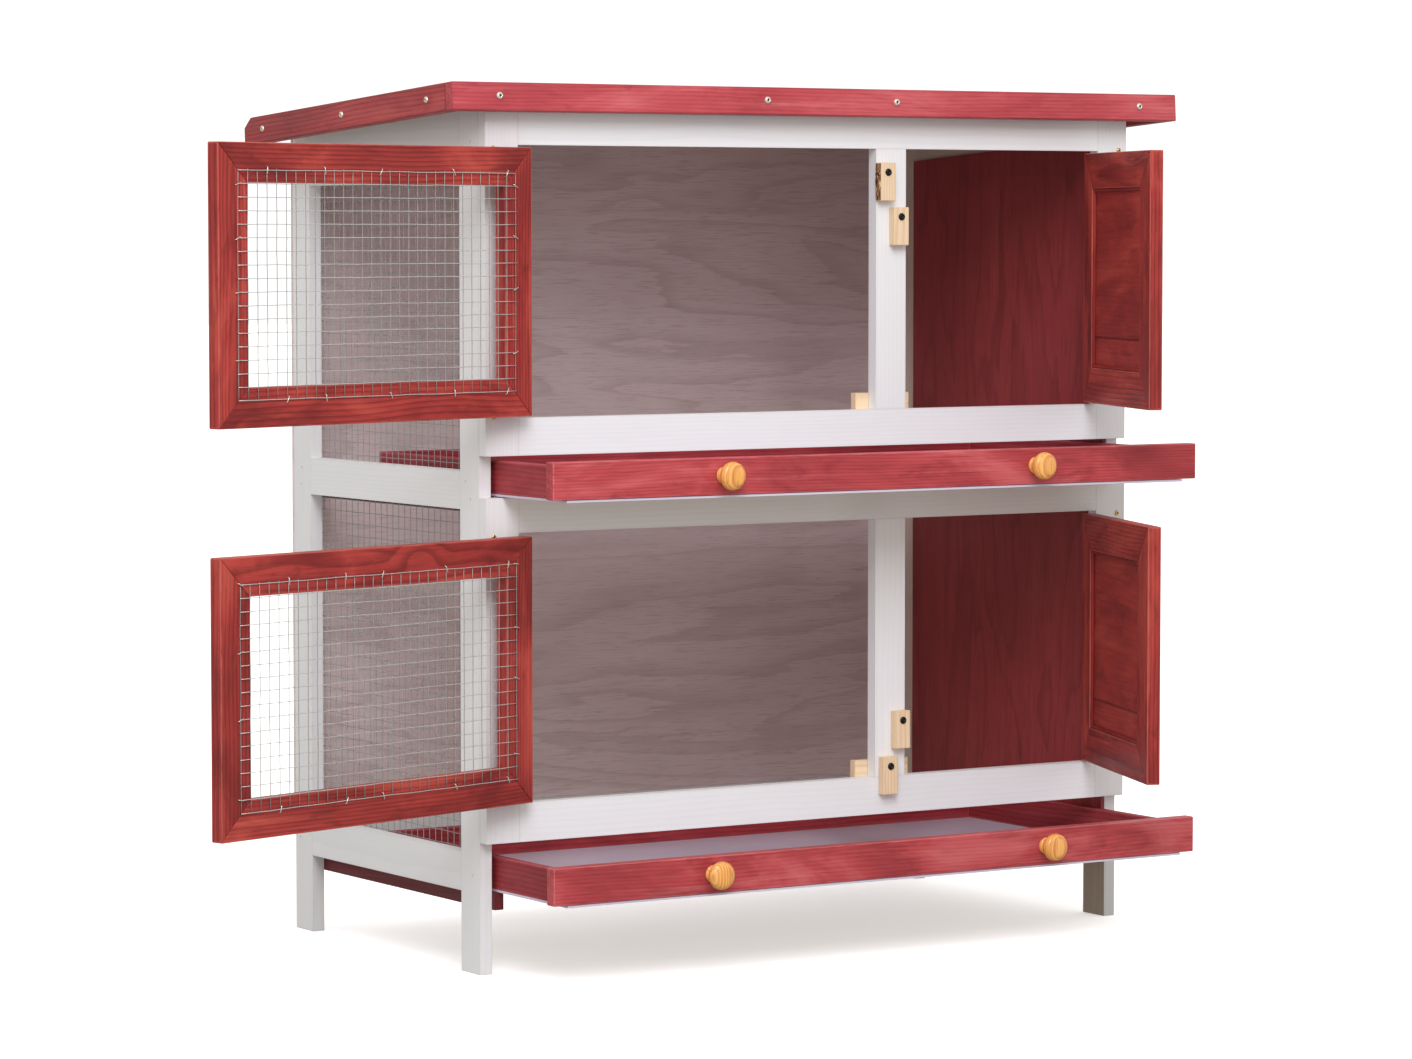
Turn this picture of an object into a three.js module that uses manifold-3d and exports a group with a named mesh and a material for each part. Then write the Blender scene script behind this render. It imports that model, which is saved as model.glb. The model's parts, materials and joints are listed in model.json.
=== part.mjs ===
// Rabbit hutch: two storeys, four doors, two slide-out trays. Millimetres, +Z up.
// Local frame while building: X = 0 at the left edge of the front frames, Y = 0 at their front face,
// Z = 0 on the floor. The last step moves the whole hutch so its box stands centred on the origin.
import * as THREE from 'three';
import Module from 'manifold-3d';
import { mergeVertices } from 'three/addons/utils/BufferGeometryUtils.js';

const wasm = await Module();
wasm.setup();

// ---------------------------------------------------------------- driving dimensions
const GAP = 0.3; // between touching pieces
const PAST = 1; // how far a cutting block runs past the face it cuts
const WIDTH = 800; // front frames
const BOARD = 14; // thickness of every rail, stile and post
const FACE = 38; // face width of stiles, mullions and posts
const BACK = 413; // back face of the back posts
const LOW_FRAME = [134, 173.5, 446.5, 482]; // bottom, rail top, rail bottom, top
const HIGH_FRAME = [524, 562, 835]; // bottom, rail top, rail bottom; the top meets the roof
const MULLION = [472, 510];
const LOW_RAIL = [82, 122];
const MID_RAIL = [469, 508];
const GABLE_BOTTOM = 797;
const SHEET = 4;
const BACK_SHEET_BOTTOM = 104; // laps over the back rail
const WALL = { bottom: 104, back: 376, drop: 32 }; // right wall sheet; its top is a drop below the roof

const ROOF_WIDTH = 900;
const ROOF_DEPTH = 451;
const ROOF_FRONT = -22;
const ROOF_TOP = 896.5;
const ROOF_SLOPE = THREE.MathUtils.degToRad(3.6);
const FASCIA_HEIGHT = 28.5;
const FASCIA_CHAMFER = [15, 10]; // top back corner: along the slope, down
const DECK = { sunk: 1.5, thick: 9 };

const DOOR_GAP = 2; // around each door in its opening
const DOOR_HEIGHT = 268;
const PIN = { inset: 1, proud: 2.6, radius: 2.2 };
const MESH_DOOR_OPEN = THREE.MathUtils.degToRad(163);
const PANEL_DOOR_OPEN = THREE.MathUtils.degToRad(69);
const PANEL_RECESS = 4;
const HINGE = { height: 40, leaf: 22, thick: 1, inset: 38 };

const WIRE = { pitch: 26, bar: 1.8, thick: 1.6, lap: 13, midLap: 11 }; // laps over the boards round it

const TRAY = { left: 19, right: 781, depth: 371, wall: 9, floor: 2.5, height: 36, out: 128, lip: 1.5 };
const TRAY_FRONT = { left: 2.5, right: 797.5, height: 37.6, thick: 14 };
const RUNNER = { width: 11, height: 17.7, back: 398 };
const TRAY_LEVELS = [
  { name: 'lower', z: 83.3, knobs: [187, 601], runnerFront: 10 },
  { name: 'upper', z: 483, knobs: [200, 585], runnerFront: BOARD + GAP },
];
const KNOB = { z: 20, profile: [[0, 0], [8.5, 0], [8.5, 2], [6, 5], [6.5, 9], [13, 12], [14.5, 16],
  [13.5, 20.5], [10, 23], [0, 23.5]] };

const BUTTON = { width: 19, length: 40, thick: 9, above: 10 };
const BUTTONS = [
  { name: 'turn_button_upper_left', x: 481, z: 810.5 },
  { name: 'turn_button_upper_right', x: 498, z: 764 },
  { name: 'turn_button_lower_right', x: 501.5, z: 233 },
  { name: 'turn_button_lower_left', x: 486, z: 185 },
];
const STOP = { x: [456, 524], height: 22, thick: 9, sunk: 5 }; // sunk below the bottom rail's top

// ---------------------------------------------------------------- materials
function material(color, roughness, metalness = 0) {
  return () => new THREE.MeshStandardMaterial({ color, roughness, metalness });
}
const redPaint = material(0xa8404a, 0.6);
const darkRed = material(0x7c2f35, 0.65);
const whitePaint = material(0xdedfe0, 0.6);
const plyGrey = material(0x8e8180, 0.75);
const plyRed = material(0x6a2328, 0.7);
const pine = material(0xe2c79c, 0.6);
const varnish = material(0xdf9a4b, 0.35);
const felt = material(0x3d4440, 0.95);
const wireSteel = material(0xb9bcbe, 0.4, 0.9);
const brassPlate = material(0xb9a26a, 0.35, 0.9);

// ---------------------------------------------------------------- helpers
const hutch = new THREE.Group();
hutch.name = 'rabbit_hutch';

function put(name, geometry, paint, parent = hutch) {
  const mesh = new THREE.Mesh(geometry, paint());
  mesh.name = name;
  parent.add(mesh);
  return mesh;
}

// a box between two limits on each axis
function block([x0, x1], [y0, y1], [z0, z1]) {
  const box = new THREE.BoxGeometry(x1 - x0, y1 - y0, z1 - z0);
  box.translate((x0 + x1) / 2, (y0 + y1) / 2, (z0 + z1) / 2);
  return box;
}

// height of the roof deck's underside, less the gap, at a depth
function underRoof(y) {
  const drop = (DECK.sunk + DECK.thick + GAP) / Math.cos(ROOF_SLOPE);
  return ROOF_TOP - drop - (y - ROOF_FRONT) * Math.tan(ROOF_SLOPE);
}

// a board of constant thickness along X from its outline in Y and Z
function sideways([x0, x1], outline) {
  const side = new THREE.Shape(outline.map(([y, z]) => new THREE.Vector2(y, z)));
  const board = new THREE.ExtrudeGeometry(side, { depth: x1 - x0, bevelEnabled: false });
  // profile axes become Y and Z, and the extrusion runs along X
  const turn = new THREE.Matrix4().set(0, 0, 1, x0, 1, 0, 0, 0, 0, 1, 0, 0, 0, 0, 0, 1);
  board.applyMatrix4(turn);
  return board;
}

// a board that reaches up to the sloping roof, or stops a drop below it
function underRoofBoard(x, [y0, y1], bottom, drop = 0) {
  const top = (y) => [y, underRoof(y) - drop];
  return sideways(x, [[y0, bottom], [y1, bottom], top(y1), top(y0)]);
}

function toSolid(geometry) {
  const bare = new THREE.BufferGeometry();
  bare.setAttribute('position', geometry.getAttribute('position').clone());
  if (geometry.index) bare.setIndex(geometry.index.clone());
  const welded = mergeVertices(bare, 1e-4);
  const vertProperties = new Float32Array(welded.getAttribute('position').array);
  const triVerts = new Uint32Array(welded.index.array);
  return new wasm.Manifold(new wasm.Mesh({ numProp: 3, vertProperties, triVerts }));
}

function toGeometry(solid) {
  const mesh = solid.getMesh();
  const geometry = new THREE.BufferGeometry();
  geometry.setAttribute('position', new THREE.BufferAttribute(mesh.vertProperties, 3));
  geometry.setIndex(new THREE.BufferAttribute(mesh.triVerts, 1));
  const flat = geometry.toNonIndexed();
  flat.computeVertexNormals();
  return flat;
}

function joined(geometries) {
  return toGeometry(geometries.map(toSolid).reduce((whole, next) => whole.add(next)));
}

function cut(geometry, tools) {
  return toGeometry(tools.map(toSolid).reduce((whole, tool) => whole.subtract(tool), toSolid(geometry)));
}

// the gaps between evenly spaced wires across a length, each as its two limits
function gaps(length) {
  const count = Math.round((length - WIRE.bar) / WIRE.pitch);
  const step = (length - WIRE.bar) / count;
  return Array.from({ length: count }, (_, i) => [i * step + WIRE.bar, (i + 1) * step]);
}

// a flat wire lattice in the first two axes, one wire thick along the third
function lattice(width, height) {
  const through = [-PAST, WIRE.thick + PAST];
  const openings = gaps(width).flatMap((x) => gaps(height).map((y) => block(x, y, through)));
  return cut(block([0, width], [0, height], [0, WIRE.thick]), openings);
}

// ---------------------------------------------------------------- posts and sides
const POST_Y = {
  front: [BOARD + GAP, BOARD + GAP + FACE],
  back: [BACK - FACE, BACK],
};
const SIDE_X = {
  left: [0, BOARD],
  right: [WIDTH - BOARD, WIDTH],
};
const BETWEEN_POSTS = [POST_Y.front[1] + GAP, POST_Y.back[0] - GAP];

function buildPosts() {
  for (const [side, x] of Object.entries(SIDE_X)) {
    for (const [end, y] of Object.entries(POST_Y)) {
      put(`post_${end}_${side}`, underRoofBoard(x, y, 0), whitePaint);
    }
  }
}

function buildSides() {
  for (const [side, x] of Object.entries(SIDE_X)) {
    put(`low_rail_${side}`, block(x, BETWEEN_POSTS, LOW_RAIL), whitePaint);
    put(`mid_rail_${side}`, block(x, BETWEEN_POSTS, MID_RAIL), whitePaint);
  }
  put('gable_left', underRoofBoard(SIDE_X.left, BETWEEN_POSTS, GABLE_BOTTOM), whitePaint);
  // the right wall is a sheet inside the posts with the gable board fixed on it
  const x = [SIDE_X.right[0] - GAP - SHEET, SIDE_X.right[0] - GAP];
  const sheet = underRoofBoard(x, [BOARD + 2 * GAP, WALL.back], WALL.bottom, WALL.drop);
  const gable = underRoofBoard([x[1], SIDE_X.right[1]], BETWEEN_POSTS, GABLE_BOTTOM);
  put('wall_right', joined([sheet, gable]), plyRed);
}

function buildBack() {
  const y = [BACK + GAP, BACK + GAP + SHEET];
  put('back_sheet', underRoofBoard([0, WIDTH], y, BACK_SHEET_BOTTOM), plyGrey);
  const between = [BOARD + GAP, WIDTH - BOARD - GAP];
  put('low_rail_back', block(between, [BACK - BOARD, BACK], LOW_RAIL), whitePaint);
}

// the left side's wire windows lie on the inner faces of the posts and rails
function buildWindows() {
  const y = [POST_Y.front[1] - WIRE.lap, POST_Y.back[0] + WIRE.lap];
  const levels = {
    lower: [LOW_RAIL[1] - WIRE.lap, MID_RAIL[0] + WIRE.midLap],
    upper: [MID_RAIL[1] - WIRE.midLap, GABLE_BOTTOM + WIRE.lap],
  };
  for (const [level, z] of Object.entries(levels)) {
    const wire = put(`window_mesh_${level}`, lattice(y[1] - y[0], z[1] - z[0]), wireSteel);
    // a third of a turn about the space diagonal: lattice X to Y, Y to Z, thickness to X
    wire.setRotationFromAxisAngle(new THREE.Vector3(1, 1, 1).normalize(), (2 * Math.PI) / 3);
    wire.position.set(BOARD + GAP, y[0], z[0]);
  }
}

// ---------------------------------------------------------------- front frames
function buildFrontFrame(level, bottom, railTop, railBottom, top) {
  const y = [0, BOARD];
  const board = (x, z0) => (top ? block(x, y, [z0, top]) : underRoofBoard(x, y, z0));
  put(`stile_left_${level}`, board([0, FACE], bottom), whitePaint);
  put(`stile_right_${level}`, board([WIDTH - FACE, WIDTH], bottom), whitePaint);
  const between = [FACE + GAP, WIDTH - FACE - GAP];
  put(`bottom_rail_${level}`, block(between, y, [bottom, railTop]), whitePaint);
  put(`top_rail_${level}`, board(between, railBottom), whitePaint);
  put(`mullion_${level}`, block(MULLION, y, [railTop + GAP, railBottom - GAP]), whitePaint);
  const stopZ = [railTop - STOP.sunk, railTop - STOP.sunk + STOP.height];
  put(`door_stop_${level}`, block(STOP.x, [BOARD + GAP, BOARD + GAP + STOP.thick], stopZ), pine);
}

// ---------------------------------------------------------------- roof
function buildRoof() {
  const roof = new THREE.Group();
  roof.position.set(WIDTH / 2, ROOF_FRONT, ROOF_TOP);
  roof.rotation.x = -ROOF_SLOPE;
  hutch.add(roof);
  const half = ROOF_WIDTH / 2;
  const tall = [-FASCIA_HEIGHT, 0];
  const length = [BOARD + GAP, ROOF_DEPTH];
  put('fascia_front', block([-half, half], [0, BOARD], tall), redPaint, roof);
  const [alongCut, downCut] = FASCIA_CHAMFER;
  const outline = [
    [length[0], tall[0]],
    [length[1], tall[0]],
    [length[1], tall[1] - downCut],
    [length[1] - alongCut, tall[1]],
    [length[0], tall[1]],
  ];
  put('fascia_left', sideways([-half, -half + BOARD], outline), redPaint, roof);
  put('fascia_right', sideways([half - BOARD, half], outline), redPaint, roof);
  const inside = half - BOARD - GAP;
  const deckZ = [-DECK.sunk - DECK.thick, -DECK.sunk];
  const deckY = [length[0], ROOF_DEPTH - alongCut];
  put('roof_deck', block([-inside, inside], deckY, deckZ), felt, roof);
}

// ---------------------------------------------------------------- doors
// each door is built closed, relative to its hinge pin, then turned open about it
function doorPivot(x, open) {
  const pivot = new THREE.Group();
  pivot.position.set(x, -PIN.proud, 0);
  pivot.rotation.z = open;
  hutch.add(pivot);
  return pivot;
}

function ring([x0, x1], y, [z0, z1]) {
  const through = [y[0] - PAST, y[1] + PAST];
  const opening = block([x0 + FACE, x1 - FACE], through, [z0 + FACE, z1 - FACE]);
  return cut(block([x0, x1], y, [z0, z1]), [opening]);
}

function buildMeshDoor(level, bottom) {
  const pinX = FACE + PIN.inset;
  const pivot = doorPivot(pinX, -MESH_DOOR_OPEN);
  const x = [FACE + DOOR_GAP - pinX, MULLION[0] - DOOR_GAP - pinX];
  const y = [PIN.proud, PIN.proud + BOARD];
  const z = [bottom, bottom + DOOR_HEIGHT];
  put(`mesh_door_${level}`, ring(x, y, z), redPaint, pivot);
  const lap = FACE - WIRE.lap;
  const wire = lattice(x[1] - x[0] - 2 * lap, DOOR_HEIGHT - 2 * lap);
  const sheet = put(`door_wire_${level}`, wire, wireSteel, pivot);
  sheet.rotation.x = Math.PI / 2;
  sheet.position.set(x[0] + lap, y[1] + GAP + WIRE.thick, z[0] + lap);
}

function buildPanelDoor(level, bottom) {
  const pinX = WIDTH - FACE - PIN.inset;
  const pivot = doorPivot(pinX, PANEL_DOOR_OPEN);
  const x = [MULLION[1] + DOOR_GAP - pinX, WIDTH - FACE - DOOR_GAP - pinX];
  const y = [PIN.proud, PIN.proud + BOARD];
  const z = [bottom, bottom + DOOR_HEIGHT];
  const recessX = [x[0] + FACE, x[1] - FACE];
  const recessZ = [z[0] + FACE, z[1] - FACE];
  const outer = block(recessX, [y[0] - PAST, y[0] + PANEL_RECESS], recessZ);
  const inner = block(recessX, [y[1] - PANEL_RECESS, y[1] + PAST], recessZ);
  put(`panel_door_${level}`, cut(block(x, y, z), [outer, inner]), redPaint, pivot);
}

// fixed leaf on the stile with the knuckle that carries the door
function buildHinges(level, bottom) {
  const heights = [bottom + HINGE.inset, bottom + DOOR_HEIGHT - HINGE.inset];
  const sides = { left: [FACE + PIN.inset, -1], right: [WIDTH - FACE - PIN.inset, 1] };
  for (const [side, [pinX, away]] of Object.entries(sides)) {
    heights.forEach((z, index) => {
      const leafX = [pinX, pinX + away * (HINGE.leaf + PIN.inset)].sort((a, b) => a - b);
      const leafZ = [z - HINGE.height / 2, z + HINGE.height / 2];
      const leaf = block(leafX, [-GAP - HINGE.thick, -GAP], leafZ);
      const knuckle = new THREE.CylinderGeometry(PIN.radius, PIN.radius, HINGE.height, 16);
      knuckle.rotateX(Math.PI / 2);
      knuckle.translate(pinX, -PIN.proud, z);
      put(`hinge_${level}_${side}_${index + 1}`, joined([leaf, knuckle]), brassPlate);
    });
  }
}

// ---------------------------------------------------------------- trays
function buildTray({ name, z, knobs }) {
  const tray = new THREE.Group();
  tray.position.set(0, -TRAY.out, z);
  hutch.add(tray);
  const start = TRAY_FRONT.thick + GAP;
  const end = start + TRAY.depth;
  const outside = block([TRAY.left, TRAY.right], [start, end], [0, TRAY.height]);
  const inside = block(
    [TRAY.left + TRAY.wall, TRAY.right - TRAY.wall],
    [start - PAST, end - TRAY.wall],
    [TRAY.floor, TRAY.height + PAST],
  );
  // the floor sheet runs on under the front board
  const lip = block([TRAY.left, TRAY.right], [TRAY.lip, start + TRAY.wall], [0, TRAY.floor]);
  put(`tray_${name}`, joined([cut(outside, [inside]), lip]), darkRed, tray);
  const frontZ = [TRAY.floor + GAP, TRAY.floor + GAP + TRAY_FRONT.height];
  const frontX = [TRAY_FRONT.left, TRAY_FRONT.right];
  put(`tray_front_${name}`, block(frontX, [0, TRAY_FRONT.thick], frontZ), redPaint, tray);
  knobs.forEach((x, index) => {
    const outline = KNOB.profile.map(([r, h]) => new THREE.Vector2(r, h));
    const knob = put(`knob_${name}_${index + 1}`, new THREE.LatheGeometry(outline, 24), varnish, tray);
    knob.rotation.x = Math.PI;
    knob.position.set(x, -GAP, TRAY.floor + KNOB.z);
  });
}

function buildRunners() {
  const left = SIDE_X.left[1] + GAP;
  const right = SIDE_X.right[0] - GAP;
  for (const { name, z, runnerFront } of TRAY_LEVELS) {
    // the upper pair stands off its posts by the wire or the wall sheet behind it
    const wireIn = name === 'upper' ? WIRE.thick + GAP : 0;
    const sheetIn = name === 'upper' ? SHEET + GAP : 0;
    const y = [runnerFront, RUNNER.back];
    const runnerZ = [z - GAP - RUNNER.height, z - GAP];
    const leftX = [left + wireIn, left + wireIn + RUNNER.width];
    const rightX = [right - sheetIn - RUNNER.width, right - sheetIn];
    put(`runner_${name}_left`, block(leftX, y, runnerZ), darkRed);
    put(`runner_${name}_right`, block(rightX, y, runnerZ), darkRed);
  }
}

// ---------------------------------------------------------------- turn buttons
function buildButtons() {
  for (const { name, x, z } of BUTTONS) {
    const shape = block(
      [-BUTTON.width / 2, BUTTON.width / 2],
      [-GAP - BUTTON.thick, -GAP],
      [BUTTON.above - BUTTON.length, BUTTON.above],
    );
    put(name, shape, pine).position.set(x, 0, z);
  }
}

// ---------------------------------------------------------------- assembly
buildPosts();
buildSides();
buildBack();
buildWindows();
buildFrontFrame('lower', ...LOW_FRAME);
buildFrontFrame('upper', ...HIGH_FRAME);
buildRoof();
const DOOR_BOTTOMS = { lower: LOW_FRAME[1] + DOOR_GAP + GAP, upper: HIGH_FRAME[1] + DOOR_GAP + GAP };
for (const [level, bottom] of Object.entries(DOOR_BOTTOMS)) {
  buildMeshDoor(level, bottom);
  buildPanelDoor(level, bottom);
  buildHinges(level, bottom);
}
TRAY_LEVELS.forEach(buildTray);
buildRunners();
buildButtons();

// stand the whole hutch, doors open and trays out, centred on the origin
hutch.updateMatrixWorld(true);
const box = new THREE.Box3().setFromObject(hutch, true);
const middle = box.getCenter(new THREE.Vector3());
hutch.position.set(-middle.x, -middle.y, -box.min.z);

export default hutch;
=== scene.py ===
"""Rabbit hutch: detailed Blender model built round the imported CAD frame. Metres, +Z up."""
import json
import math
import random

import bmesh
import bpy
from mathutils import Matrix, Vector


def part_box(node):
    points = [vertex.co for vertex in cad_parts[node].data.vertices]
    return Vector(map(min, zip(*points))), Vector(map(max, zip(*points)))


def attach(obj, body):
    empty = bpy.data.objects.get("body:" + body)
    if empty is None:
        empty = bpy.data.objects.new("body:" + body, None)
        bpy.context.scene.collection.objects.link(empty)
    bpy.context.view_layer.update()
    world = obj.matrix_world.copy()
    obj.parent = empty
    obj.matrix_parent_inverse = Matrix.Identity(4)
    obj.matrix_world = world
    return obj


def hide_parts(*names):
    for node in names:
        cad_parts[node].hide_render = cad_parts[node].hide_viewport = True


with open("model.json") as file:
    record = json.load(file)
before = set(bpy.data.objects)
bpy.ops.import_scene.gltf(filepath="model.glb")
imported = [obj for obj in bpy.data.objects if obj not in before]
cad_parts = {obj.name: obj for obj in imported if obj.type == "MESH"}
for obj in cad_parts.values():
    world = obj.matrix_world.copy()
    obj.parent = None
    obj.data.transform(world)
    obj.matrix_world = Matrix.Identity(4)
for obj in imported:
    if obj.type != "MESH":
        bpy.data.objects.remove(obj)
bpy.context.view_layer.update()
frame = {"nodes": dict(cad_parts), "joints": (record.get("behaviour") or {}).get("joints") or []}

MM = 0.001
LEVELS = ("lower", "upper")
BOARD = 14 * MM       # thickness of the frame boards
FACE = 38 * MM        # width of the frame boards
GAP = 0.3 * MM        # clearance between solids that touch in the real hutch
DOOR_GAP = 2 * MM     # clearance round a closed door


# ------------------------------------------------------------------ colours and shader helpers
def srgb(r, g, b):
    def linear(c):
        c /= 255
        return c / 12.92 if c <= 0.04045 else ((c + 0.055) / 1.055) ** 2.4
    return (linear(r), linear(g), linear(b), 1.0)


class Shader:
    """Small wrapper that makes and links nodes of one material."""

    def __init__(self, name):
        self.material = bpy.data.materials.new(name)
        self.material.use_nodes = True
        self.tree = self.material.node_tree
        self.tree.nodes.clear()
        self.output = self.tree.nodes.new("ShaderNodeOutputMaterial")
        self.bsdf = self.tree.nodes.new("ShaderNodeBsdfPrincipled")
        self.tree.links.new(self.bsdf.outputs[0], self.output.inputs["Surface"])

    def put(self, socket, value):
        if isinstance(value, bpy.types.NodeSocket):
            self.tree.links.new(value, socket)
        else:
            socket.default_value = value

    def node(self, kind, inputs=None, **props):
        n = self.tree.nodes.new(kind)
        for key, value in props.items():
            setattr(n, key, value)
        for key, value in (inputs or {}).items():
            self.put(n.inputs[key], value)
        return n

    def math(self, op, a, b=0.0):
        return self.node("ShaderNodeMath", {0: a, 1: b}, operation=op).outputs[0]

    def vector(self, op, a, b=(0, 0, 0)):
        n = self.node("ShaderNodeVectorMath", {0: a, 1: b}, operation=op)
        return n.outputs["Value" if op == "LENGTH" else "Vector"]

    def attribute(self, name):
        return self.node("ShaderNodeAttribute", attribute_name=name).outputs["Vector"]

    def noise(self, vector, scale, detail=3.0, rough=0.5, distort=0.0):
        inputs = {"Vector": vector, "Scale": scale, "Detail": detail,
                  "Roughness": rough, "Distortion": distort}
        return self.node("ShaderNodeTexNoise", inputs)

    def ramp(self, value, low, high, to_low=0.0, to_high=1.0):
        """A smooth step from one value to another."""
        inputs = {"Value": value, "From Min": low, "From Max": high, "To Min": to_low, "To Max": to_high}
        return self.node("ShaderNodeMapRange", inputs, interpolation_type="SMOOTHSTEP").outputs[0]

    def mix(self, factor, a, b, blend="MIX"):
        n = self.node("ShaderNodeMix", data_type="RGBA", blend_type=blend)
        self.put(n.inputs[0], factor)
        self.put(n.inputs[6], a)
        self.put(n.inputs[7], b)
        return n.outputs[2]

    def first(self, vector):
        """The first component of a vector or a colour."""
        return self.node("ShaderNodeSeparateXYZ", {0: vector}).outputs[0]

    def place(self):
        """The point on the board, moved to the board's own part of the timber."""
        return self.vector("ADD", self.attribute("at"), self.attribute("seed"))

    def grain(self, place, scale, *shape):
        """Noise with a scale for each axis of the board."""
        return self.noise(self.vector("MULTIPLY", place, scale), 1.0, *shape).outputs[0]

    def surface(self, colour, rough, normal):
        self.put(self.bsdf.inputs["Base Color"], colour)
        self.put(self.bsdf.inputs["Roughness"], rough)
        self.put(self.bsdf.inputs["Normal"], normal)

    def bump(self, height, strength, distance, normal=None):
        n = self.node("ShaderNodeBump", {"Height": height, "Strength": strength, "Distance": distance})
        if normal is not None:
            self.put(n.inputs["Normal"], normal)
        return n.outputs[0]


def edge_distance(s):
    """Distance from a board's surface point to its nearest long edge or end, from its box."""
    inset = s.vector("SUBTRACT", s.attribute("half"), s.vector("ABSOLUTE", s.attribute("at")))
    x, y, z = s.node("ShaderNodeSeparateXYZ", {0: inset}).outputs
    low = s.math("MINIMUM", s.math("MINIMUM", x, y), z)
    high = s.math("MAXIMUM", s.math("MAXIMUM", x, y), z)
    total = s.math("ADD", s.math("ADD", x, y), z)
    return s.math("SUBTRACT", s.math("SUBTRACT", total, low), high)


def timber(name, base, dark, light, rings=0.5, fibre=0.5, blotch=0.25, knots=0.0, edge=None,
           edge_amount=0.0, edge_reach=3.2 * MM, rough=0.55, bump=0.35, ring_pitch=4.5 * MM,
           coat=0.0, tones=0.06):
    """Wood along the at attribute's x: rings, fibres, blotches, knots and an edge colour that is paint
    wear on some boards, painted highlight or painted shade on others.
    """
    s = Shader(name)
    at = s.place()
    pith = s.vector("MULTIPLY", s.attribute("seed"), (0.0, 0.16, 0.16))
    tilt = s.vector("MULTIPLY", s.attribute("at"), (0.012, 1.0, 1.0))
    warp = s.noise(s.vector("MULTIPLY", at, (2.6, 9.0, 9.0)), 1.0, 2.0).outputs["Color"]
    warp = s.vector("MULTIPLY", s.vector("SUBTRACT", warp, (0.5, 0.5, 0.5)), (0.0, 0.018, 0.018))

    cells = s.node("ShaderNodeTexVoronoi", {"Vector": s.vector("MULTIPLY", at, (5.0, 11.0, 11.0)),
                                            "Scale": 1.0, "Randomness": 1.0})
    chosen = s.ramp(s.first(cells.outputs["Color"]), 1 - knots, 1 - knots + 0.01)
    near = s.ramp(cells.outputs["Distance"], 0.05, 0.32, 1.0, 0.0)
    knot = s.math("MULTIPLY", near, chosen)
    core = s.math("MULTIPLY", s.ramp(cells.outputs["Distance"], 0.05, 0.12, 1.0, 0.0), chosen)

    swell = s.math("MULTIPLY", knot, 0.012)
    radius = s.vector("LENGTH", s.vector("ADD", s.vector("ADD", tilt, warp), pith))
    phase = s.math("FRACT", s.math("DIVIDE", s.math("ADD", radius, swell), ring_pitch))
    late = s.math("MULTIPLY", s.ramp(phase, 0.35, 0.9), s.ramp(phase, 0.9, 1.0, 1.0, 0.0))

    threads = s.grain(at, (18.0, 540.0, 540.0), 3.0, 0.6)
    pores = s.ramp(threads, 0.34, 0.48, 1.0, 0.0)
    streak = s.grain(at, (5.0, 120.0, 120.0), 3.0, 0.6)
    cloud = s.grain(at, (6.0, 16.0, 16.0), 4.0, 0.6, 0.6)

    colour = s.mix(s.math("MULTIPLY", late, rings), base, dark)
    colour = s.mix(s.ramp(streak, 0.52, 0.8, 0.0, fibre), colour, light)
    colour = s.mix(s.math("MULTIPLY", pores, fibre * 0.45), colour, dark)
    patch = s.grain(at, (14.0, 42.0, 42.0), 3.0, 0.65, 0.8)
    colour = s.mix(s.ramp(cloud, 0.4, 0.72, 0.0, blotch), colour, dark)
    colour = s.mix(s.ramp(patch, 0.52, 0.78, 0.0, blotch), colour, dark)
    colour = s.mix(s.ramp(cloud, 0.5, 0.28, 0.0, blotch * 0.8), colour, light)
    if knots:
        colour = s.mix(s.math("MULTIPLY", knot, 0.55), colour, dark)
        darker = tuple(c * 0.45 for c in dark[:3]) + (1.0,)
        colour = s.mix(s.math("MULTIPLY", core, 0.8), colour, darker)
    tone = s.math("FRACT", s.first(s.attribute("seed")))
    shade = s.mix(tone, (1 - tones, 1 - tones, 1 - tones, 1), (1 + tones, 1 + tones, 1 + tones, 1))
    colour = s.mix(1.0, colour, shade, "MULTIPLY")
    # edge colour by the arrises: paint wear on most boards, a painted highlight on the door members (RED),
    # painted shade round the sunk panels (PANEL_RED)
    if edge_amount:
        ragged = s.grain(at, (60.0, 300.0, 300.0), 3.0)
        reach = s.math("MULTIPLY", ragged, edge_reach)
        edge_wear_or_light = s.ramp(s.math("SUBTRACT", edge_distance(s), reach), -1.2 * MM, 0.6 * MM, 1.0, 0.0)
        colour = s.mix(s.math("MULTIPLY", edge_wear_or_light, edge_amount), colour, edge)
    height = s.math("ADD", s.math("MULTIPLY", threads, 0.7), s.math("MULTIPLY", late, 0.5))
    s.surface(colour, s.ramp(streak, 0.3, 0.7, rough - 0.08, rough + 0.08), s.bump(height, bump, 0.5 * MM))
    s.bsdf.inputs["Specular IOR Level"].default_value = 0.3
    if coat:
        s.bsdf.inputs["Coat Weight"].default_value = coat
        s.bsdf.inputs["Coat Roughness"].default_value = 0.15
    return s.material


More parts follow.
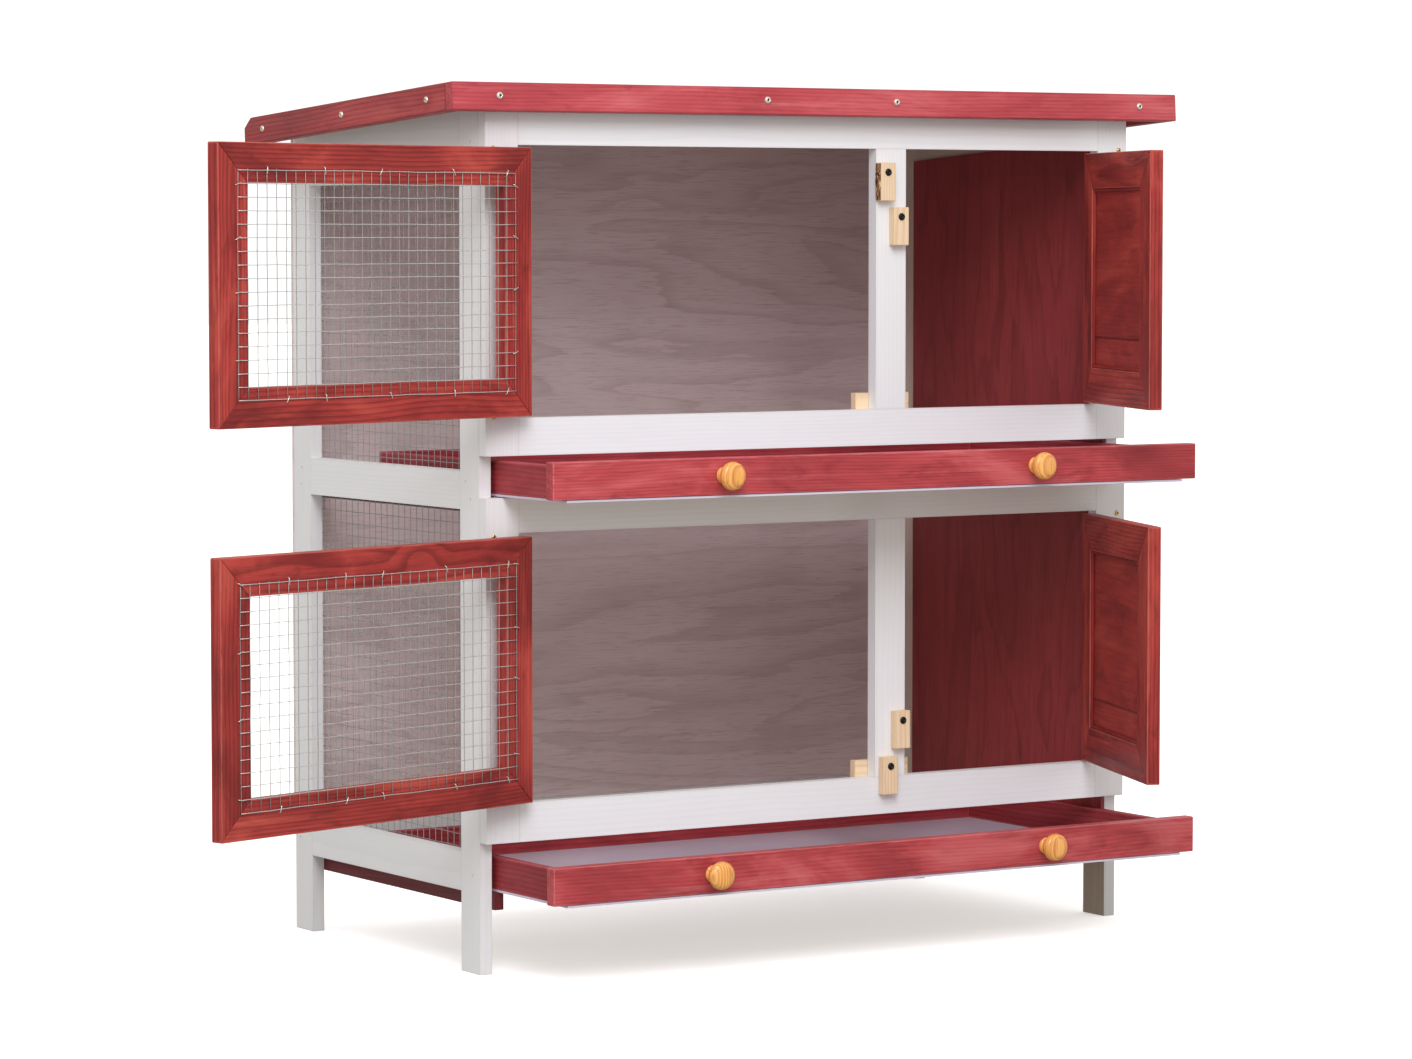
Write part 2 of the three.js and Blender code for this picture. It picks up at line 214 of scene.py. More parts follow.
def veneer(name, base, dark, light, contours, rough=0.6):
    """Rotary-cut plywood: torn contour lines, fine pores and clouding along at's x."""
    s = Shader(name)
    at = s.place()
    field = s.grain(at, (1.3, 6.5, 6.5), 3.0, 0.5, 0.5)
    threads = s.grain(at, (26.0, 750.0, 750.0), 3.0, 0.65)
    torn = s.grain(at, (14.0, 160.0, 160.0), 4.0, 0.7)
    level = s.math("ADD", s.math("MULTIPLY", field, 12.0), s.math("MULTIPLY", torn, 0.5))
    phase = s.math("FRACT", level)
    line = s.math("MULTIPLY", s.ramp(phase, 0.55, 0.96), s.ramp(phase, 0.96, 1.0, 1.0, 0.0))
    streak = s.grain(at, (4.0, 60.0, 60.0), 4.0, 0.6)
    cloud = s.grain(at, (3.0, 4.0, 4.0), 3.0, 0.55)
    colour = s.mix(s.math("MULTIPLY", line, contours), base, dark)
    colour = s.mix(s.ramp(torn, 0.46, 0.3, 0.0, 0.35), colour, dark)
    colour = s.mix(s.ramp(streak, 0.5, 0.75, 0.0, 0.35), colour, light)
    colour = s.mix(s.ramp(threads, 0.48, 0.34, 0.0, 0.6), colour, dark)
    colour = s.mix(s.ramp(cloud, 0.35, 0.7, 0.0, 0.35), colour, dark)
    height = s.math("ADD", s.math("MULTIPLY", threads, 0.6), s.math("MULTIPLY", line, -0.4))
    s.surface(colour, s.ramp(cloud, 0.3, 0.7, rough - 0.07, rough + 0.07), s.bump(height, 0.3, 0.35 * MM))
    return s.material


def metal(name, colour, rough, metallic=1.0, grime=srgb(70, 66, 60), grime_amount=0.35, scale=400.0):
    s = Shader(name)
    place = s.node("ShaderNodeTexCoord").outputs["Object"]
    spots = s.noise(place, scale, 4.0, 0.6).outputs[0]
    tint = s.mix(s.ramp(spots, 0.45, 0.75, 0.0, grime_amount), colour, grime)
    s.surface(tint, s.ramp(spots, 0.3, 0.7, rough - 0.08, rough + 0.12), s.bump(spots, 0.15, 0.1 * MM))
    s.bsdf.inputs["Metallic"].default_value = metallic
    return s.material


def felt_material():
    s = Shader("roof_felt")
    place = s.node("ShaderNodeTexCoord").outputs["Object"]
    grit = s.node("ShaderNodeTexVoronoi", {"Vector": place, "Scale": 620.0})
    patch = s.noise(place, 7.0, 5.0, 0.6).outputs[0]
    fleck = s.first(grit.outputs["Color"])
    colour = s.mix(s.ramp(fleck, 0.55, 1.0), srgb(62, 66, 66), srgb(122, 126, 124))
    colour = s.mix(s.ramp(patch, 0.4, 0.7, 0.0, 0.4), colour, srgb(48, 51, 52))
    bumps = s.bump(grit.outputs["Distance"], 0.7, 0.7 * MM)
    s.surface(colour, 0.93, s.bump(patch, 0.5, 3 * MM, bumps))
    return s.material


def sheet_material():
    """The trays' smooth lilac-grey floor sheet, faintly mottled and scuffed."""
    s = Shader("tray_sheet")
    at = s.place()
    cloud = s.noise(at, 5.0, 4.0, 0.55).outputs[0]
    scuff = s.grain(at, (30.0, 260.0, 30.0), 4.0, 0.7)
    colour = s.mix(s.ramp(cloud, 0.35, 0.7), srgb(214, 204, 220), srgb(200, 190, 208))
    colour = s.mix(s.ramp(scuff, 0.6, 0.8, 0.0, 0.35), colour, srgb(228, 222, 232))
    s.surface(colour, s.ramp(cloud, 0.3, 0.7, 0.36, 0.5), s.bump(scuff, 0.08, 0.1 * MM))
    return s.material


def bark_material():
    """Rough bark, dark in its cracks and pale where it has flaked."""
    s = Shader("bark")
    at = s.place()
    flakes = s.grain(at, (110.0, 420.0, 420.0), 4.0, 0.6, 0.8)
    grit = s.grain(at, (900.0, 900.0, 900.0), 3.0)
    colour = s.mix(s.ramp(flakes, 0.4, 0.5), srgb(38, 22, 14), srgb(128, 80, 48))
    colour = s.mix(s.ramp(flakes, 0.52, 0.6), colour, srgb(226, 188, 142))
    colour = s.mix(s.ramp(grit, 0.55, 0.75, 0.0, 0.5), colour, srgb(70, 42, 28))
    s.surface(colour, s.ramp(grit, 0.3, 0.7, 0.75, 0.95), s.bump(flakes, 0.9, 0.8 * MM))
    return s.material


WHITE = timber("white_paint", srgb(231, 232, 233), srgb(213, 213, 212), srgb(239, 240, 241), rings=0.15,
               fibre=0.2, blotch=0.08, knots=0.03, edge=srgb(212, 206, 200), edge_amount=0.25,
               rough=0.5, bump=0.14, tones=0.012)
# the tone of the boards' inner faces: partly bare wood, partly painted shade from the cabin's inside
INSIDE = timber("inside_face", srgb(215, 200, 187), srgb(190, 170, 154), srgb(224, 212, 200), rings=0.3,
                fibre=0.3, blotch=0.25, rough=0.65, bump=0.3)
PINK = timber("red_paint_fascia", srgb(194, 79, 85), srgb(146, 40, 50), srgb(222, 126, 130), rings=0.32,
              fibre=0.8, blotch=0.5, knots=0.12, edge=srgb(140, 44, 52), edge_amount=0.45,
              rough=0.5, bump=0.45, ring_pitch=3.6 * MM)
FRONT_RED = timber("red_paint_front", srgb(186, 70, 74), srgb(122, 32, 40), srgb(216, 116, 118), rings=0.3,
                   fibre=0.8, blotch=0.6, knots=0.3, edge=srgb(216, 124, 126), edge_amount=0.6,
                   edge_reach=2.2 * MM, rough=0.5, bump=0.45, ring_pitch=3.2 * MM)
# the pale edge colour of the door members is a painted highlight along their arrises
RED = timber("red_paint_door", srgb(172, 56, 50), srgb(98, 20, 20), srgb(200, 90, 74), rings=0.6,
             fibre=0.75, blotch=0.7, knots=0.1, edge=srgb(206, 108, 94), edge_amount=0.55,
             edge_reach=2.2 * MM, rough=0.45, bump=0.45, ring_pitch=3.8 * MM, tones=0.05)
# the panel boards' dark edge colour is painted shade in the door's sunk recess, and a dark joint where two
# boards meet
PANEL_RED = timber("red_paint_panel", srgb(170, 56, 50), srgb(112, 28, 28), srgb(192, 82, 68), rings=0.18,
                   fibre=0.6, blotch=0.75, edge=srgb(90, 22, 22), edge_amount=0.55,
                   edge_reach=3.6 * MM, rough=0.5, bump=0.25)
# the beads are a darker red than the door: painted shade in the recess round the panel
SHADED_BEAD_RED = timber("red_paint_bead", srgb(150, 46, 42), srgb(96, 22, 22), srgb(176, 70, 58), rings=0.3,
                  fibre=0.5, blotch=0.5, rough=0.45, bump=0.25)
SIDE_RED = timber("red_paint_side", srgb(168, 58, 60), srgb(108, 28, 32), srgb(196, 94, 92), rings=0.6,
                  fibre=0.6, blotch=0.55, knots=0.3, edge=srgb(110, 32, 36), edge_amount=0.45,
                  rough=0.5, bump=0.45)
TRAY_RED = timber("red_paint_tray", srgb(160, 52, 58), srgb(106, 28, 34), srgb(184, 80, 84), rings=0.5,
                  fibre=0.5, blotch=0.45, knots=0.06, edge=srgb(196, 94, 100), edge_amount=0.5,
                  rough=0.55, bump=0.4)
RUNNER_RED = timber("red_paint_runner", srgb(116, 36, 42), srgb(74, 20, 26), srgb(138, 50, 54),
                    rings=0.4, fibre=0.3, blotch=0.3, edge=srgb(60, 18, 22), edge_amount=0.4)
PINE = timber("natural_pine", srgb(236, 210, 176), srgb(212, 174, 130), srgb(244, 228, 200), rings=0.5,
              fibre=0.35, blotch=0.15, edge=srgb(218, 186, 144), edge_amount=0.35, rough=0.6,
              ring_pitch=3.2 * MM)
BARK = bark_material()
KNOB = timber("varnished_knob", srgb(245, 176, 94), srgb(176, 98, 38), srgb(250, 200, 128), rings=0.6,
              fibre=1.0, blotch=0.2, rough=0.4, bump=0.3, ring_pitch=2.4 * MM, coat=0.5)
BACK = veneer("back_plywood", srgb(227, 211, 210), srgb(186, 165, 164), srgb(238, 226, 225), 0.4)
WALL = veneer("wall_plywood", srgb(155, 54, 56), srgb(110, 30, 34), srgb(174, 76, 76), 0.45, 0.5)
DECK = veneer("deck_board", srgb(178, 160, 136), srgb(146, 126, 102), srgb(196, 180, 158), 0.4)
TRAY_BASE = veneer("tray_underside", srgb(228, 202, 172), srgb(204, 174, 140), srgb(238, 218, 192), 0.3)
FELT = felt_material()
SHEET = sheet_material()
WIRE = metal("galvanised_wire", srgb(214, 212, 208), 0.42, 0.6, grime_amount=0.3, scale=300.0)
# a darker copy of the galvanised wire: painted shade on the door uprights, beside the lit level wires
SHADED_WIRE = metal("dull_wire", srgb(164, 159, 154), 0.5, 0.5, grime_amount=0.35, scale=300.0)
# window wire, a darker grey than the door wire
WINDOW_WIRE = metal("weathered_wire", srgb(160, 163, 164), 0.5, 0.4, grime_amount=0.4, scale=300.0)
ZINC = metal("zinc_screw", srgb(226, 220, 206), 0.3, 0.7, grime_amount=0.25)
# black screw heads, and the painted shade in every drive's hollow
DARK_SCREW_AND_DRIVE_SHADE = metal("dark_screw", srgb(38, 36, 36), 0.4, 0.8, grime=srgb(84, 78, 70), grime_amount=0.3)
BRASS = metal("brassed_hinge", srgb(218, 192, 130), 0.3, 1.0, grime_amount=0.3)


# ------------------------------------------------------------------ mesh helpers
GRAIN = {"x": ((1, 0, 0), (0, 1, 0), (0, 0, 1)),
         "y": ((0, 1, 0), (1, 0, 0), (0, 0, 1)),
         "z": ((0, 0, 1), (0, 1, 0), (1, 0, 0))}


def seed_vector(name):
    rng = random.Random(name)
    return Vector((rng.uniform(-9, 9), rng.uniform(-0.9, 0.9), rng.uniform(-0.9, 0.9)))


def finish(name, bm, material, body, nodes=(), grain="x", matrix=None, smooth=False, bare_or_shaded=None):
    """Turns a bmesh, given in its own frame, into a riding piece with wood attributes.

    bare_or_shaded is a direction and the material of the faces that look that way: bare hardboard under a
    tray, or the boards' inner-face tone, partly bare wood, partly painted shade."""
    bm.normal_update()
    mesh = bpy.data.meshes.new(name)
    bm.to_mesh(mesh)
    bm.free()
    points = [v.co.copy() for v in mesh.vertices]
    low = Vector(map(min, *points))
    high = Vector(map(max, *points))
    middle = (low + high) / 2
    turn = Matrix(GRAIN[grain])
    half = turn @ ((high - low) / 2)
    shift = seed_vector(name)
    for label, value in (("at", None), ("half", half), ("seed", shift)):
        layer = mesh.attributes.new(label, "FLOAT_VECTOR", "POINT")
        flat = []
        for p in points:
            flat.extend(value if value is not None else turn @ (p - middle))
        layer.data.foreach_set("vector", flat)
    if matrix is not None:
        mesh.transform(matrix)
    for polygon in mesh.polygons:
        polygon.use_smooth = smooth
    mesh.materials.append(material)
    if bare_or_shaded is not None:
        mesh.materials.append(bare_or_shaded[1])
        for polygon in mesh.polygons:
            polygon.material_index = int(polygon.normal.dot(bare_or_shaded[0]) > 0.9)
    piece = bpy.data.objects.new(name, mesh)
    bpy.context.scene.collection.objects.link(piece)
    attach(piece, body)
    if nodes:
        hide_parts(*nodes)
    return piece


def round_edges(bm, width, angle=30):
    """A small two-step bevel on every edge sharper than the angle."""
    limit = math.radians(angle)
    edges = [e for e in bm.edges if len(e.link_faces) == 2 and e.calc_face_angle() > limit]
    bmesh.ops.bevel(bm, geom=edges, offset=width, segments=2, profile=0.5, affect="EDGES",
                    clamp_overlap=True)


def box_mesh(low, high, width=0.9 * MM):
    bm = bmesh.new()
    bmesh.ops.create_cube(bm, size=1.0)
    size = Vector(high) - Vector(low)
    for v in bm.verts:
        v.co = Vector(low) + Vector((s * (c + 0.5) for s, c in zip(size, v.co)))
    round_edges(bm, width)
    return bm


def node_mesh(node, width=0.9 * MM):
    """A CAD node's own shape with its flat faces merged and its edges eased."""
    bm = bmesh.new()
    bm.from_mesh(frame["nodes"][node].data)
    bmesh.ops.remove_doubles(bm, verts=bm.verts, dist=1e-6)
    bmesh.ops.dissolve_limit(bm, angle_limit=math.radians(1), verts=bm.verts, edges=bm.edges)
    round_edges(bm, width)
    return bm


def prism(outline, y0, y1, width=0.7 * MM):
    """A board of an outline in x and z, from y0 to y1."""
    bm = bmesh.new()
    front = [bm.verts.new((x, y0, z)) for x, z in outline]
    back = [bm.verts.new((x, y1, z)) for x, z in outline]
    bm.faces.new(front)
    bm.faces.new(list(reversed(back)))
    count = len(outline)
    for i in range(count):
        j = (i + 1) % count
        bm.faces.new((front[j], front[i], back[i], back[j]))
    bmesh.ops.recalc_face_normals(bm, faces=bm.faces)
    round_edges(bm, width)
    return bm


def lathe(bm, profile, steps, place):
    """Adds a closed surface of revolution about local z: profile is (radius, height) from axis to axis."""
    rings = []
    for radius, height in profile:
        if radius < 1e-7:
            rings.append([bm.verts.new(place @ Vector((0, 0, height)))])
            continue
        ring = []
        for k in range(steps):
            a = 2 * math.pi * k / steps
            ring.append(bm.verts.new(place @ Vector((radius * math.cos(a), radius * math.sin(a), height))))
        rings.append(ring)
    for a, b in zip(rings, rings[1:]):
        for k in range(steps):
            n = (k + 1) % steps
            corners = [a[k % len(a)], a[n % len(a)], b[n % len(b)], b[k % len(b)]]
            unique = list(dict.fromkeys(corners))
            if len(unique) > 2:
                bm.faces.new(unique)


def tube(bm, points, radius, sides=6):
    """Adds a capped round wire through the points."""
    rings = []
    last = len(points) - 1
    for i, p in enumerate(points):
        along = (points[min(i + 1, last)] - points[max(i - 1, 0)]).normalized()
        side = along.cross(Vector((0, 1, 0)))
        if side.length < 1e-3:
            side = along.cross(Vector((1, 0, 0)))
        side.normalize()
        up = along.cross(side)
        ring = []
        for k in range(sides):
            a = 2 * math.pi * k / sides
            ring.append(bm.verts.new(p + side * (radius * math.cos(a)) + up * (radius * math.sin(a))))
        rings.append(ring)
    for a, b in zip(rings, rings[1:]):
        for k in range(sides):
            n = (k + 1) % sides
            bm.faces.new((a[k], a[n], b[n], b[k]))
    bm.faces.new(list(reversed(rings[0])))
    bm.faces.new(rings[-1])


def facing(normal, point):
    """A matrix that takes local z to a direction, at a point."""
    turn = Vector(normal).to_track_quat("Z", "Y").to_matrix().to_4x4()
    return Matrix.Translation(point) @ turn


def add_screw(bm, point, normal, radius, height=None):
    """A pan head with a sunk drive, its rim seated on the surface."""
    height = height or radius * 0.6
    place = facing(normal, point)
    rise = height / 0.66
    dome = [(0, 0.12 * rise), (0.26 * radius, 0.12 * rise), (0.36 * radius, 0.6 * rise),
            (0.62 * radius, 0.62 * rise), (0.9 * radius, 0.4 * rise), (radius, 0.08 * rise),
            (radius, -0.05 * rise), (0, -0.05 * rise)]
    lathe(bm, dome, 20, place)


def make_screws(name, places, radius, material, body, matrix=None):
    """Heads of one kind and the dark cross sunk in each, painted shade for the drive's hollow."""
    heads, drive_shade = bmesh.new(), bmesh.new()
    rng = random.Random(name)
    for point, normal in places:
        add_screw(heads, point, normal, radius)
        # each dark cross is painted shade standing for the drive's hollow
        turn = facing(normal, point) @ Matrix.Rotation(rng.uniform(0, math.pi), 4, "Z")
        for quarter in (0, math.pi / 2):
            arm = box_mesh((-0.42 * radius, -0.13 * radius, 0.1 * radius),
                           (0.42 * radius, 0.13 * radius, 0.5 * radius), 0.02 * radius)
            arm.transform(turn @ Matrix.Rotation(quarter, 4, "Z"))
            absorb(drive_shade, arm)
    finish(name, heads, material, body, (), "x", matrix, smooth=True)
    finish(f"{name}_drives", drive_shade, DARK_SCREW_AND_DRIVE_SHADE, body, (), "x", matrix)


def absorb(bm, part):
    """Adds one bmesh to another and frees it."""
    temporary = bpy.data.meshes.new("part")
    part.to_mesh(temporary)
    part.free()
    bm.from_mesh(temporary)
    bpy.data.meshes.remove(temporary)


# ------------------------------------------------------------------ carcass
BOARD_GRAINS = {"z": ("post_front_left", "post_front_right", "post_back_left", "post_back_right",
                      "stile_left_lower", "stile_left_upper", "stile_right_lower", "stile_right_upper",
                      "mullion_lower", "mullion_upper"),
                "y": ("low_rail_left", "low_rail_right", "mid_rail_left", "mid_rail_right",
                      "gable_left"),
                "x": ("low_rail_back", "bottom_rail_lower", "bottom_rail_upper", "top_rail_lower",
                      "top_rail_upper")}
AXES = {"x": 0, "y": 1, "z": 2}
BUTTED = ("rail", "mullion", "gable")
# the inner faces of the side boards, darker and warmer than the white: partly bare wood, partly painted
# shade
INWARD = {"left": (Vector((1, 0, 0)), INSIDE), "right": (Vector((-1, 0, 0)), INSIDE)}


def board_mesh(node, grain, width=0.25 * MM):
    """A carcass board; one that butts between two others is drawn up tight at both ends."""
    bm = node_mesh(node, width)
    if any(word in node for word in BUTTED):
        axis = AXES[grain]
        low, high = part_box(node)
        middle = (low[axis] + high[axis]) / 2
        reach = (high[axis] - low[axis]) / 2
        for v in bm.verts:
            v.co[axis] = middle + (v.co[axis] - middle) * (1 + 0.27 * MM / reach)
    return bm


def make_carcass():
    for grain, nodes in BOARD_GRAINS.items():
        for node in nodes:
            side = node.rsplit("_", 1)[-1]
            bare_or_shaded = INWARD.get(side) if node.startswith(("post", "gable")) else None
            finish(f"{node}_board", board_mesh(node, grain), WHITE, "carcass", [node],
                   grain, bare_or_shaded=bare_or_shaded)
    for level in LEVELS:
        for side in ("left", "right"):
            node = f"runner_{level}_{side}"
            finish(f"{node}_board", node_mesh(node), RUNNER_RED, "carcass", [node], "y")
        node = f"door_stop_{level}"
        finish(f"{node}_block", node_mesh(node, 0.6 * MM), PINE, "carcass", [node], "x")
    # the back sheet is drawn up against the roof deck
    bm = node_mesh("back_sheet", 0.4 * MM)
    low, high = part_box("back_sheet")
    for v in bm.verts:
        if v.co.z > (low.z + high.z) / 2:
            v.co.z += 0.25 * MM
    finish("back_plywood_sheet", bm, BACK, "carcass", ["back_sheet"], "x")


def make_right_wall():
    """The dark sheet inside the posts, with the white gable board outside it at the top."""
    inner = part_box("wall_right")[0].x
    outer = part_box("post_front_right")[0].x - GAP
    vertices = frame["nodes"]["wall_right"].data.vertices
    corners = {(round(v.co.y, 5), round(v.co.z, 5)) for v in vertices if v.co.x < inner + 0.1 * MM}
    middle = [sum(c[i] for c in corners) / len(corners) for i in (0, 1)]
    outline = sorted(corners, key=lambda c: math.atan2(c[1] - middle[1], c[0] - middle[0]))
    bm = prism(outline, 0.0, outer - inner, 0.3 * MM)
    # the prism's x and z become y and z, and its thickness runs along x
    bm.transform(Matrix(((0, 1, 0, inner), (1, 0, 0, 0), (0, 0, 1, 0), (0, 0, 0, 1))))
    bmesh.ops.recalc_face_normals(bm, faces=bm.faces)
    finish("wall_right_sheet", bm, WALL, "carcass", ["wall_right"], "z")
    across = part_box("post_front_right")[0].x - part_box("post_front_left")[0].x
    bm = board_mesh("gable_left", "y")
    for v in bm.verts:
        v.co.x += across
    finish("gable_right_board", bm, WHITE, "carcass", (), "y", bare_or_shaded=INWARD["right"])


ROOF_SLOPE = math.radians(3.6)
FASCIA_HEIGHT = 28.5 * MM
ROOF_HALF_WIDTH = 450 * MM
DECK_HALF = 435.6 * MM
DECK_FRONT, DECK_REAR = BOARD + GAP, 441 * MM
FELT_LAPS = ((DECK_FRONT, 160 * MM), (150 * MM, 300 * MM), (290 * MM, DECK_REAR))
FELT_COLUMNS, FELT_ROWS = 96, 18
UP = Vector((0, 0, 1))


def roof_matrix():
    """The roof's own frame: origin at the middle of the front fascia's top edge, y down the slope."""
    low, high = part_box("fascia_front")
    return Matrix.Translation(((low.x + high.x) / 2, low.y + FASCIA_HEIGHT * math.sin(ROOF_SLOPE),
                               high.z)) @ Matrix.Rotation(-ROOF_SLOPE, 4, "X")


def felt_strip(index, y0, y1):
    """One strip of felt, its front edge lifted where it laps the strip in front of it."""
    bm = bmesh.new()
    rng = random.Random(f"felt{index}")
    grid = []
    for j in range(FELT_ROWS + 1):
        row = []
        for i in range(FELT_COLUMNS + 1):
            x = -DECK_HALF + 2 * DECK_HALF * i / FELT_COLUMNS
            y = y0 + (y1 - y0) * j / FELT_ROWS
            lift = 0.35 * MM * math.sin(x * 21 + index) * math.sin(y * 33 + 2 * index)
            over = 1.2 * MM if j == 0 and index else 0.0
            ragged = 0.0 if 0 < j < FELT_ROWS else 0.5 * MM * (rng.random() - 0.5)
            row.append(bm.verts.new((x, y + ragged, -2.6 * MM + lift + over)))
        grid.append(row)
    for j in range(FELT_ROWS):
        for i in range(FELT_COLUMNS):
            bm.faces.new((grid[j][i], grid[j][i + 1], grid[j + 1][i + 1], grid[j + 1][i]))
    bmesh.ops.solidify(bm, geom=bm.faces[:], thickness=-1.3 * MM)
    for v in bm.verts:
        v.co.z += (2 - index) * 0.25 * MM
    return bm


def make_roof():
    roof = roof_matrix()
    back = roof.inverted()
    for node, grain in (("fascia_front", "x"), ("fascia_left", "y"), ("fascia_right", "y")):
        bm = node_mesh(node, 1.1 * MM)
        bm.transform(back)
        paint = PINK if node == "fascia_front" else SIDE_RED
        finish(f"{node}_board", bm, paint, "carcass", [node], grain, roof)
    deck = box_mesh((-DECK_HALF, DECK_FRONT, -10.5 * MM), (DECK_HALF, DECK_REAR, -4 * MM), 0.3 * MM)
    finish("roof_deck_board", deck, DECK, "carcass", ["roof_deck"], "x", roof)
    for index, (y0, y1) in enumerate(FELT_LAPS):
        strip = felt_strip(index, y0, y1)
        finish(f"roof_felt_strip_{index + 1}", strip, FELT, "carcass", (), "x", roof)
    nails = bmesh.new()
    for i in range(15):
        x = -DECK_HALF + 18 * MM + i * (2 * DECK_HALF - 36 * MM) / 14
        for y in (DECK_FRONT + 12 * MM, 157 * MM, 297 * MM, DECK_REAR - 12 * MM):
            add_screw(nails, Vector((x, y, -1.35 * MM)), UP, 3.2 * MM, 0.7 * MM)
    finish("roof_felt_nails", nails, ZINC, "carcass", (), "x", roof, smooth=True)
    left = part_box("stile_left_lower")[0].x
    across = [left + x * MM - roof.translation.x for x in (4, 321, 482, 800)]
    front = [(Vector((x, 0, -13.5 * MM)), (0, -1, 0)) for x in across]
    sides = [(Vector((side * ROOF_HALF_WIDTH, y * MM, -14 * MM)), (side, 0, 0))
             for y in (52, 231, 408) for side in (-1, 1)]
    make_screws("roof_screws_front", front, 3.8 * MM, ZINC, "carcass", roof)
    make_screws("roof_screws_side", sides, 3.4 * MM, ZINC, "carcass", roof)


def make_frame_screws():
    left_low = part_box("stile_left_lower")[0]
    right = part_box("stile_right_lower")[1].x
    places = []
    for level in LEVELS:
        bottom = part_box(f"bottom_rail_{level}")
        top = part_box(f"top_rail_{level}")
        # the screw beside the upper panel door sits a little above the others
        above = 1 * MM if level == "upper" else -3.5 * MM
        for x, lift in ((left_low.x + 9 * MM, -3.5 * MM), (right - 10 * MM, above)):
            for z in (bottom[1].z + 1.5 * MM, top[0].z + lift):
                places.append((Vector((x, left_low.y, z)), (0, -1, 0)))
    make_screws("frame_screws", places, 2.8 * MM, BRASS, "carcass")


def make_carcass_nails():
    """Nails in the outer faces of the posts and round the edge of the back sheet."""
    nails = bmesh.new()
    rng = random.Random("nails")
    for side, out in (("left", -1), ("right", 1)):
        for end in ("front", "back"):
            low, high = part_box(f"post_{end}_{side}")
            x = low.x if out < 0 else high.x
            for z in (100, 480, 498, 812, 838):
                y = low.y + rng.uniform(9, 28) * MM
                add_screw(nails, Vector((x, y, z * MM)), (out, 0, 0), 1.5 * MM, 0.4 * MM)
    low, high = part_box("back_sheet")
    left, right = low.x + 7 * MM, high.x - 7 * MM
    levels = (low.z + 9 * MM, high.z - 30 * MM)
    spots = [(left + i * (right - left) / 12, z) for i in range(13) for z in levels]
    spots += [(x, low.z + i * (high.z - low.z) / 9) for i in range(1, 9) for x in (left, right)]
    for x, z in spots:
        add_screw(nails, Vector((x, high.y, z)), (0, 1, 0), 1.8 * MM, 0.5 * MM)
    finish("carcass_nails", nails, ZINC, "carcass", (), "x", smooth=True)


# ------------------------------------------------------------------ wire
PITCH = 12.7 * MM
WIRE_RADIUS = 0.38 * MM
WINDOW_RADIUS = 0.36 * MM


def wire_grid(rng, columns, rows, wobble):
    """Crossing points of a slightly uneven square mesh, centred on the origin in x and z."""
    drift = [[Vector((rng.gauss(0, wobble), 0, rng.gauss(0, wobble))) for _ in range(columns + 1)]
             for _ in range(rows + 1)]
    points = []
    for j in range(rows + 1):
        row = []
        for i in range(columns + 1):
            near = [drift[b][a] for a in range(max(i - 1, 0), min(i + 2, columns + 1))
                    for b in range(max(j - 1, 0), min(j + 2, rows + 1))]
            ease = sum(near, Vector()) / len(near) + drift[j][i] * 0.25
            row.append(Vector(((i - columns / 2) * PITCH, 0, (j - rows / 2) * PITCH)) + ease)
        points.append(row)
    return points


def wire_meshes(rng, columns, rows, radius, wobble):
    """Welded mesh: the uprights in one layer, the level wires on top of them towards +y."""
    points = wire_grid(rng, columns, rows, wobble)
    uprights, levels = bmesh.new(), bmesh.new()
    layer = Vector((0, radius * 1.7, 0))
    stub = 1.5 * MM
    for i in range(columns + 1):
        path = [points[j][i] for j in range(rows + 1)]
        path[0] = path[0] - Vector((0, 0, stub * rng.random()))
        path[-1] = path[-1] + Vector((0, 0, stub * rng.random()))
        tube(uprights, path, radius)
    for j in range(rows + 1):
        path = [points[j][i] + layer for i in range(columns + 1)]
        path[0] = path[0] - Vector((stub * rng.random(), 0, 0))
        path[-1] = path[-1] + Vector((stub * rng.random(), 0, 0))
        tube(levels, path, radius)
    return uprights, levels, points


def add_staple(bm, rng, centre, along, out, length=7 * MM):
    """A U staple driven in along -out, its crown lying across a border wire."""
    turn = Matrix.Rotation(rng.uniform(-0.5, 0.5), 3, out)
    reach = (turn @ along) * (length / 2)
    lift = out * 1.9 * MM
    down = out * -0.6 * MM
    corner = reach * 0.8
    points = [centre - reach + down, centre - reach + lift * 0.5, centre - corner + lift,
              centre + corner + lift, centre + reach + lift * 0.5, centre + reach + down]
    tube(bm, points, 0.42 * MM, 6)


